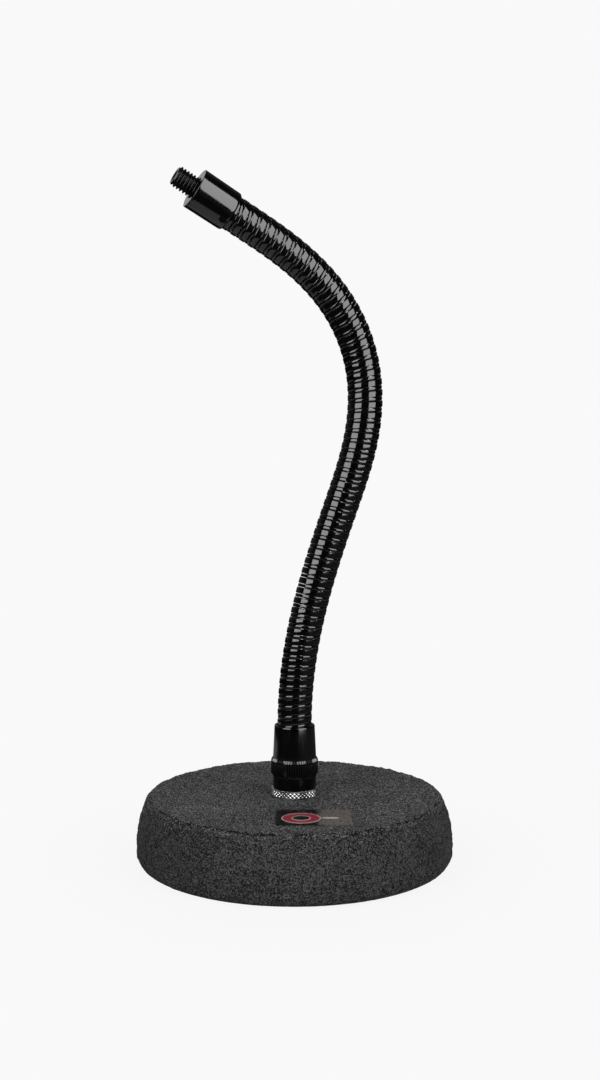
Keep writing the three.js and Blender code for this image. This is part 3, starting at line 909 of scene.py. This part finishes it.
def top_stud():
    sections = round((TOP_STUD_OUT + TOP_STUD_IN) / THREAD_PITCH * SECTIONS_PER_THREAD)
    height = np.linspace(FERRULE_LENGTH - TOP_STUD_IN, FERRULE_LENGTH + TOP_STUD_OUT, sections + 1)[:, None]
    share = (np.arange(THREAD_SIDES) / THREAD_SIDES)[None, :]
    thread = around(thread_radius(height, share), share * FULL_TURN, height)
    tip = TOP_STUD_RADIUS - THREAD_DEPTH
    dish_radius = np.array([[tip - DISH_RIM], [tip / 6]])
    dish_height = np.array([[0], [-DISH_DEPTH]]) + height[-1]
    dish = around(dish_radius, share * FULL_TURN, dish_height)
    rows = np.concatenate([thread, dish])
    piece = skin("threaded_stud", rows, MATERIAL["black_oxide"], False, sharp=50)
    piece.data.transform(free_end_place())
    return finished(piece, "neck_14", "black_oxide", "top_stud")


def keep_cad_nodes():
    """The hidden hardware and the set screw keep their CAD shapes."""
    kept = {
        "base_stud": "zinc_steel",
        "flat_washer": "zinc_steel",
        "lock_washer": "zinc_steel",
        "stud_nut": "zinc_steel",
        "set_screw": "sunk_screw",
    }
    for node, slot in kept.items():
        frame["nodes"][node].material_slots[0].material = MATERIAL[slot]


# ---- Floor, light and camera ----

BACKDROP = 0.947
FLOOR_SHADOW_SHARE = 0.06
FLOOR_SHADOW_REACH = 0.16

# What the glossy parts see of the floor, which is plain and pale to the camera: its colour is painted
# with light round the base and behind it to the left, painted dark elsewhere and dim beyond to the right.
# Distances in millimetres, each as where a change starts and where it ends.
FLOOR_SIZE = 6
FLOOR_LIT = 0.31
FLOOR_DIM = 0.06
FLOOR_DARK = 0.015
LIT_ROUND_BASE = (185, 205)
LIT_BEHIND = (40, 90)
LIT_TO_LEFT = (0, -60)
LIT_BEHIND_REACH = (290, 380)
DIM_TO_RIGHT = (90, 200)

# Light boxes to the left and right of the camera, a light above and a fill behind, in metres.
# Glossy surfaces mirror only the boxes.
BOX_RADIANCE = 3.2
BOX_DISTANCE = 0.9
BOX_WIDTH = 0.74
BOX_TOP = 1.5
LEFT_BOX_FOOT = 0.11
RIGHT_BOX_FOOT = 0.02
BOX_AZIMUTH = 47.5
TOP_LIGHT_RADIANCE = 1.2
TOP_LIGHT_SIZE = 1.2
TOP_LIGHT_PLACE = Vector((0, 0.15, 1.5))
BACK_FILL_RADIANCE = 2.0
BACK_FILL_SIZE = (1.2, 0.8)
BACK_FILL_PLACE = Vector((0, 1.0, 0.6))

CAMERA_LENS = 47.67
CAMERA_SENSOR = 36
CAMERA_PLACE = (0.0025, -0.65, 0.2008)
CAMERA_TILT = 4.65

# The sky seen in reflections, as (degrees away from the screen, brightness): a pale screen behind,
# its dim surround, and darkness elsewhere
SCREEN_AZIMUTH = math.radians(-160.6)
SCREEN_HEIGHT = math.radians(18)
SKY_LEVELS = ((0, 0.6), (7, 0.6), (11, 0.08), (50, 0.06), (70, 0.012), (180, 0.008))


def floor():
    mesh = bpy.data.meshes.new("floor")
    corners = [(x * FLOOR_SIZE, y * FLOOR_SIZE, 0) for x, y in ((-1, -1), (1, -1), (1, 1), (-1, 1))]
    mesh.from_pydata(corners, [], [(0, 1, 2, 3)])
    finish = Finish("pale_floor")
    seen = finish.node("LightPath").outputs["Is Camera Ray"]
    away = finish.node("VectorMath", {0: finish.place}, operation="LENGTH").outputs["Value"]
    split = finish.node("SeparateXYZ", {0: finish.place}).outputs
    round_base = finish.remap(away, *LIT_ROUND_BASE, 1, 0)
    to_left = finish.remap(split["X"], *LIT_TO_LEFT)
    back_left = finish.math("MULTIPLY", finish.remap(split["Y"], *LIT_BEHIND), to_left)
    behind_base = finish.math("MULTIPLY", back_left, finish.remap(away, *LIT_BEHIND_REACH, 1, 0))
    to_right = finish.remap(split["X"], *DIM_TO_RIGHT)
    dim = finish.blend(to_right, grey(FLOOR_DARK), grey(FLOOR_DIM))
    # Painted light: the floor's colour for glossy parts is bright round the base and behind it to the left,
    # dim or dark elsewhere.
    tone = finish.blend(finish.math("MAXIMUM", round_base, behind_base), dim, grey(FLOOR_LIT))
    bounce = finish.node("BsdfDiffuse", {"Color": tone}).outputs[0]
    shade = finish.node("BsdfDiffuse", {"Color": grey(0.8)}).outputs[0]
    pale = finish.node("Emission", {"Color": grey(1), "Strength": BACKDROP}).outputs[0]
    inner = FLOOR_SHADOW_REACH / 2 / MM
    share = finish.remap(away, inner, FLOOR_SHADOW_REACH / MM, FLOOR_SHADOW_SHARE, 0)
    shaded = finish.node("MixShader", {0: share, 1: pale, 2: shade}).outputs[0]
    mixed = finish.node("MixShader", {0: seen, 1: bounce, 2: shaded}).outputs[0]
    output = finish.tree.nodes["Material Output"]
    finish.tree.links.new(mixed, output.inputs["Surface"])
    mesh.materials.append(finish.material)
    made = bpy.data.objects.new("floor", mesh)
    bpy.context.scene.collection.objects.link(made)


def towards(azimuth, height=0.0):
    """A direction at an azimuth to the right of the camera's side, and at a height above level."""
    level = math.cos(height)
    return Vector((math.sin(azimuth) * level, -math.cos(azimuth) * level, math.sin(height)))


def backdrop():
    """Pale to the camera. In reflections its brightness falls off away from the screen behind."""
    world = bpy.data.worlds.new("backdrop")
    bpy.context.scene.world = world
    world.use_nodes = True
    tree = world.node_tree
    tree.nodes.clear()

    def node(kind, *links):
        made = tree.nodes.new("ShaderNode" + kind)
        for source, target in links:
            tree.links.new(source, made.inputs[target])
        return made

    place = node("TexCoord").outputs["Generated"]
    nearness = node("VectorMath", (place, 0))
    nearness.operation = "DOT_PRODUCT"
    nearness.inputs[1].default_value = towards(SCREEN_AZIMUTH, SCREEN_HEIGHT)
    half = node("MapRange", (nearness.outputs["Value"], "Value"))
    half.inputs["From Min"].default_value = -1
    ramp = node("ValToRGB", (half.outputs["Result"], "Fac"))
    stops = ramp.color_ramp.elements
    stops.remove(stops[0])
    stops[0].position = 1
    stops[0].color = grey(SKY_LEVELS[0][1])
    for degrees, level in SKY_LEVELS[1:]:
        stop = stops.new((1 + math.cos(math.radians(degrees))) / 2)
        stop.color = grey(level)
    around_it = node("Background", (ramp.outputs["Color"], "Color"))
    behind_it = node("Background")
    behind_it.inputs["Color"].default_value = grey(BACKDROP)
    path = node("LightPath").outputs["Is Camera Ray"]
    mix = node("MixShader", (path, 0), (around_it.outputs[0], 1), (behind_it.outputs[0], 2))
    node("OutputWorld", (mix.outputs[0], "Surface"))


def panel(name, place, facing, width, height, radiance, mirrored=True):
    """A rectangular area light of even brightness. Glossy surfaces show it if it is mirrored."""
    light = bpy.data.lights.new(name, "AREA")
    light.shape = "RECTANGLE"
    light.size, light.size_y = width, height
    light.energy = radiance * math.pi * width * height
    made = bpy.data.objects.new(name, light)
    bpy.context.scene.collection.objects.link(made)
    made.location = place
    made.rotation_mode = "QUATERNION"
    made.rotation_quaternion = Vector(facing).to_track_quat("-Z", "Y")
    made.visible_camera = False
    made.visible_glossy = mirrored


def lights():
    sides = (("left_box", -BOX_AZIMUTH, LEFT_BOX_FOOT), ("right_box", BOX_AZIMUTH, RIGHT_BOX_FOOT))
    for name, azimuth, foot in sides:
        out = towards(math.radians(azimuth))
        place = out * BOX_DISTANCE + Vector((0, 0, (foot + BOX_TOP) / 2))
        panel(name, place, -out, BOX_WIDTH, BOX_TOP - foot, BOX_RADIANCE)
    panel("top_light", TOP_LIGHT_PLACE, (0, 0, -1), TOP_LIGHT_SIZE, TOP_LIGHT_SIZE, TOP_LIGHT_RADIANCE, False)
    panel("back_fill", BACK_FILL_PLACE, -BACK_FILL_PLACE, *BACK_FILL_SIZE, BACK_FILL_RADIANCE, False)


def camera():
    """Level with the middle of the neck and tipped a little down, with the stand in a portrait frame."""
    data = bpy.data.cameras.new("camera")
    data.lens = CAMERA_LENS
    data.sensor_width = CAMERA_SENSOR
    made = bpy.data.objects.new("camera", data)
    made.location = CAMERA_PLACE
    made.rotation_euler = (math.radians(90 - CAMERA_TILT), 0, 0)
    bpy.context.scene.collection.objects.link(made)
    bpy.context.scene.camera = made
    bpy.context.scene.view_settings.view_transform = "Standard"


# ---- The whole scene ----

MATERIAL = {
    "textured_iron": textured_iron(),
    "foam_pad": foam_pad(),
    "zinc_steel": zinc_steel(),
    "chrome_ring": chrome_ring(),
    "black_fitting": black_gloss("black_fitting", 0.16, 0.5),
    "black_knurl": black_gloss("black_knurl", 0.16, 0.5, (COLLAR_FOOT, COLLAR_TOP)),
    "outer_wire": wire("outer_wire", 0.7),
    "core_wire": wire("core_wire", 0.4),
    "black_oxide": black_oxide(),
    "sunk_screw": sunk_screw(),
    "label_film": label_film(),
    "red_print": printed("red_print", (0.19, 0.008, 0.018, 1), (0.28, 0.015, 0.03, 1)),
    "pale_print": printed("pale_print", grey(0.3, 0.05), grey(0.42, 0.04)),
}

check_neck()
base_casting()
base_pad()
label()
lock_ring()
lower_fitting()
lower_sleeve()
neck()
top_ferrule()
top_stud()
keep_cad_nodes()
floor()
backdrop()
lights()
camera()
